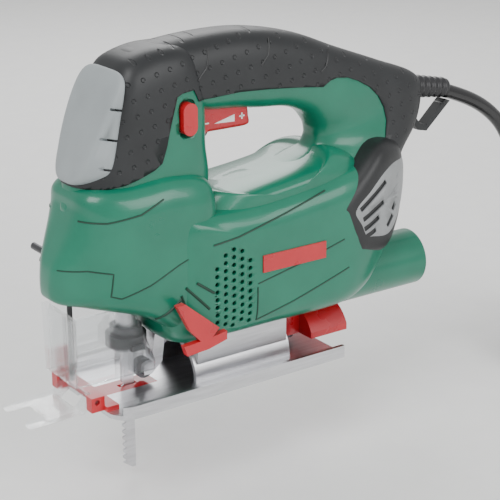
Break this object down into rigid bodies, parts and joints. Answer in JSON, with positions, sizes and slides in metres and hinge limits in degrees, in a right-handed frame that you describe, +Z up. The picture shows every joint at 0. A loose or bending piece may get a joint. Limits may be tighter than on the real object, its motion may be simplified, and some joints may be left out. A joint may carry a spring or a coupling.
{
  "type": "jigsaw power tool",
  "caption": "Corded orbital-action jigsaw with D-handle, reciprocating blade, tilting sole, clear guards and suction tube.",
  "frame": {"origin": "centre of the sole's underside", "axes": "+X from the blade end to the rear along the sole, -Y the tool's left side, +Z up from the sole"},
  "size_m": [0.4817, 0.1303, 0.252],
  "materials": {
    "green_shell": "satin",
    "black_grip": "dimpled matt",
    "grey_pad": "matt",
    "steel": "ground",
    "dark_steel": "oiled",
    "laminate": "laminated",
    "copper": "enamelled",
    "bronze": "sintered",
    "black_plastic": "fine texture",
    "grey_plastic": "fine texture",
    "red_plastic": "gloss",
    "clear": "clear",
    "carbon": "matt",
    "cord_rubber": "semi-gloss",
    "pale_plastic": "matt"
  },
  "bodies": {
    "housing": {"housing_left": "green_shell", "housing_right": "green_shell", "side_badge": "red_plastic", "soft_grip": "black_grip", "front_grip_pad": "grey_pad", "gearbox": "grey_plastic", "lower_bush": "bronze", "upper_bush": "bronze", "front_bearing": "steel", "rear_bearing": "steel", "field_core": "laminate", "field_coils": "copper", "brush_holders": "black_plastic", "carbon_brushes": "carbon", "gear_axle": "steel", "switch_body": "black_plastic", "speed_module": "pale_plastic", "suppressor": "pale_plastic", "suction_tube": "green_shell", "rear_grille": "grey_plastic", "saddle_plate": "steel", "saddle_bolt": "dark_steel", "guard_hood": "clear", "finger_rod": "black_plastic", "housing_screws": "dark_steel", "cord_clamp": "black_plastic", "cable_boot": "black_grip", "cable_strap": "black_grip", "light_lens": "clear", "cord": "cord_rubber", "cord_coil": "cord_rubber", "cord_tie": "black_plastic", "plug": "black_plastic", "fork_pin": "steel"},
    "rotor": {"rotor_shaft": "steel", "armature": "laminate", "armature_windings": "copper", "commutator": "copper", "fan": "black_plastic"},
    "gear": {"drive_gear": "dark_steel", "crank_pin": "steel", "counterweight": "dark_steel"},
    "plunger": {"plunger_rod": "steel", "yoke": "steel", "blade_clamp": "dark_steel", "saw_blade": "steel"},
    "collar": {"clamp_collar": "black_plastic"},
    "fork": {"roller_fork": "steel", "roller_pin": "steel"},
    "roller": {"guide_roller": "dark_steel"},
    "selector": {"orbit_lever": "red_plastic"},
    "trigger": {"trigger": "red_plastic"},
    "dial": {"speed_dial": "black_plastic"},
    "lock": {"lock_button": "red_plastic"},
    "sole": {"sole_plate": "steel", "sole_tunnel": "steel", "splinter_insert": "red_plastic", "guide_holder": "red_plastic"},
    "clamp_lever": {"sole_lever": "red_plastic"},
    "guide": {"cut_guide": "clear"}
  },
  "joints": [
    {"name": "rotor_spin", "type": "hinge", "parent": "housing", "child": "rotor", "pos_m": [0.05, 0, 0.078], "axis": [1, 0, 0], "continuous": true},
    {"name": "gear_spin", "type": "hinge", "parent": "housing", "child": "gear", "pos_m": [-0.02, 0, 0.104], "axis": [1, 0, 0], "continuous": true},
    {"name": "plunger_stroke", "type": "slide", "parent": "housing", "child": "plunger", "axis": [0, 0, 1], "range_m": [-0.009, 0.009]},
    {"name": "clamp_turn", "type": "hinge", "parent": "plunger", "child": "collar", "pos_m": [-0.0495, 0, 0.028], "axis": [0, 0, 1], "range_deg": [0, 30], "stiffness_Nm_per_rad": 0.02, "springref_deg": -17.19},
    {"name": "fork_swing", "type": "hinge", "parent": "housing", "child": "fork", "pos_m": [-0.028, 0, 0.047], "axis": [0, 1, 0], "range_deg": [-4, 0], "stiffness_Nm_per_rad": 0.08, "springref_deg": 3.44},
    {"name": "roller_spin", "type": "hinge", "parent": "fork", "child": "roller", "pos_m": [-0.0394, 0, 0.0105], "axis": [0, 1, 0], "continuous": true},
    {"name": "orbit_select", "type": "hinge", "parent": "housing", "child": "selector", "pos_m": [-0.022, -0.039, 0.04], "axis": [0, 1, 0], "range_deg": [0, 90]},
    {"name": "trigger_pull", "type": "slide", "parent": "housing", "child": "trigger", "axis": [0, 0, 1], "range_m": [0, 0.005], "stiffness_N_per_m": 600, "springref_m": -0.004},
    {"name": "dial_turn", "type": "hinge", "parent": "trigger", "child": "dial", "pos_m": [-0.0015, 0, 0.144], "axis": [0, 1, 0], "range_deg": [-120, 120]},
    {"name": "lock_press", "type": "slide", "parent": "housing", "child": "lock", "axis": [0, 1, 0], "range_m": [0, 0.003], "stiffness_N_per_m": 400, "springref_m": -0.003},
    {"name": "sole_bevel", "type": "hinge", "parent": "housing", "child": "sole", "pos_m": [0, 0, 0.003], "axis": [1, 0, 0], "range_deg": [-10, 10]},
    {"name": "sole_lever_open", "type": "hinge", "parent": "housing", "child": "clamp_lever", "pos_m": [0.06, 0, 0.015], "axis": [0, 0, 1], "range_deg": [0, 25]},
    {"name": "guide_flip", "type": "hinge", "parent": "sole", "child": "guide", "pos_m": [-0.0815, 0, 0.008], "axis": [0, 1, 0], "range_deg": [0, 30]}
  ],
  "couplings": [
    {"joint": "gear_spin", "follows": "rotor_spin", "ratio": -0.12766}
  ]
}
